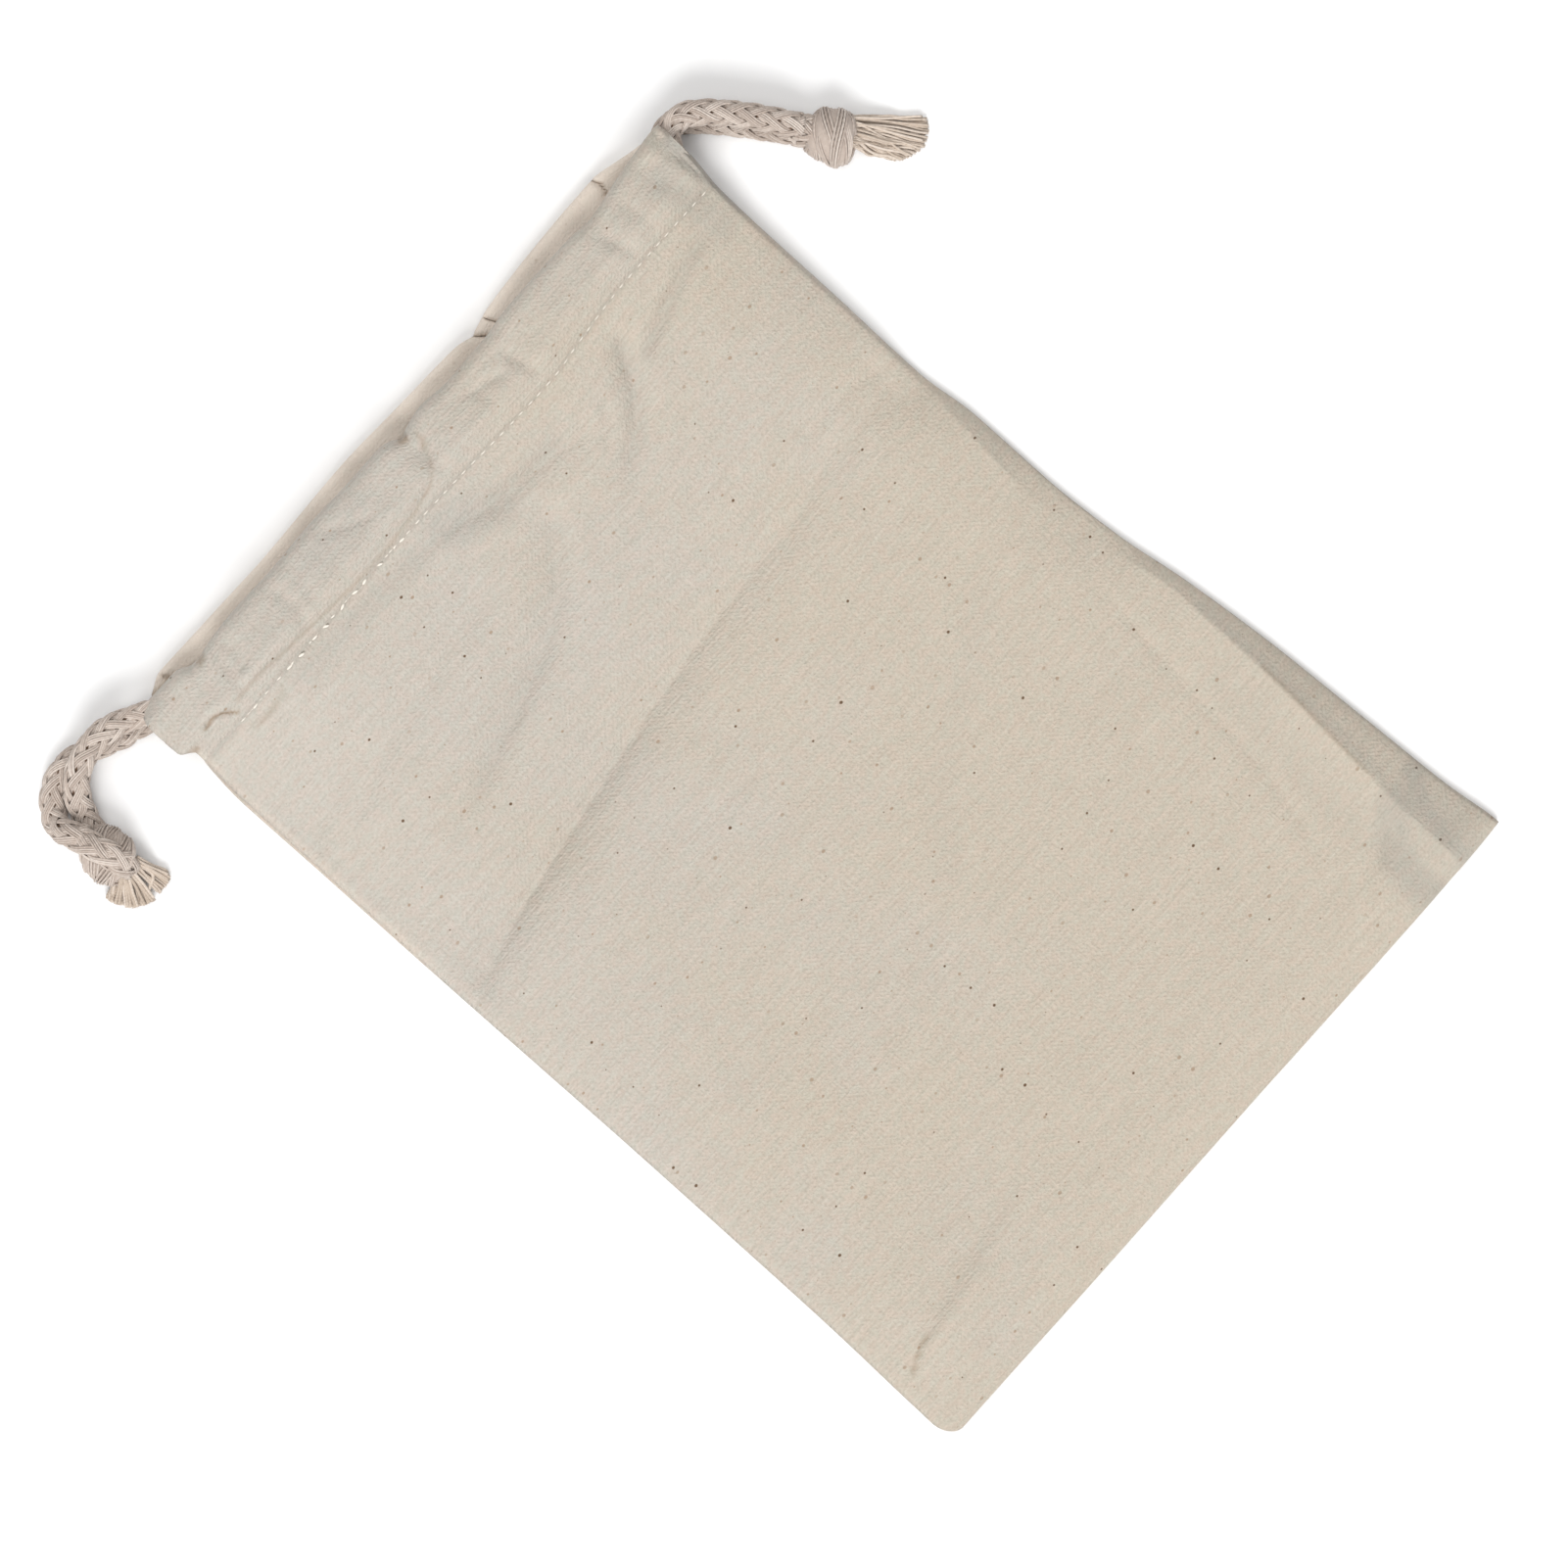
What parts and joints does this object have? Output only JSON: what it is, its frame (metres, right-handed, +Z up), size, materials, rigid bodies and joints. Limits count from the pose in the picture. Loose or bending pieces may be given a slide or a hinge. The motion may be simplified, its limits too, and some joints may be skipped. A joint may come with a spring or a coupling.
{
  "type": "drawstring laundry bag",
  "caption": "Small flat cotton drawstring bag, empty, lying on its back with its mouth a little open; cords run in the casings at the mouth and leave at the sides, with knotted, frayed ends.",
  "frame": {"origin": "on the resting plane, under the middle of the cloth's outline", "axes": "+Z up, +Y from the bottom seam to the mouth, +X to the side whose seam is folded in"},
  "size_m": [0.2079, 0.2086, 0.0148],
  "materials": {
    "cloth": "matte",
    "cord": "matte"
  },
  "bodies": {
    "root": {"front_panel": "cloth", "back_panel": "cloth", "drawstring_left": "cord", "drawstring_right": "cord", "knot_left": "cord", "knot_right": "cord"}
  },
  "joints": []
}
